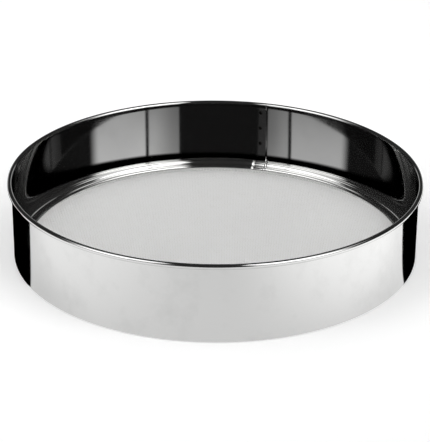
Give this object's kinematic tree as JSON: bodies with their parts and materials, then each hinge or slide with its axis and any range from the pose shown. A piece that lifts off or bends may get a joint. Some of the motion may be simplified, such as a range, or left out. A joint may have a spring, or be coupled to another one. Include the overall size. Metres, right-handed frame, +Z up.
{
  "type": "soil sieve",
  "caption": "Round steel drum sieve: a low polished hoop with a wired rim and fine square-mesh wire cloth near its foot, for sifting soil, compost or flour.",
  "frame": {"origin": "on the hoop's axis, on the plane that the foot stands on", "axes": "+Z up along the hoop's axis, towards the open rim; the lap seam is near +Y, 16 degrees towards +X"},
  "size_m": [0.4, 0.4, 0.0785],
  "materials": {
    "hoop_steel": "bright polished stainless steel strip, with faint rolling marks along the hoop",
    "ring_steel": "bright pressed stainless steel",
    "cloth_steel": "bright plain-woven stainless steel wire",
    "wire_rod": "drawn steel rod, hidden in the rim",
    "weld_steel": "dull dished electrode marks"
  },
  "bodies": {
    "root": {"hoop_wall": "hoop_steel", "rim_wire": "wire_rod", "seam_spot_welds": "weld_steel", "support_ring": "ring_steel", "wire_cloth": "cloth_steel", "clamp_ring": "ring_steel"}
  },
  "joints": []
}
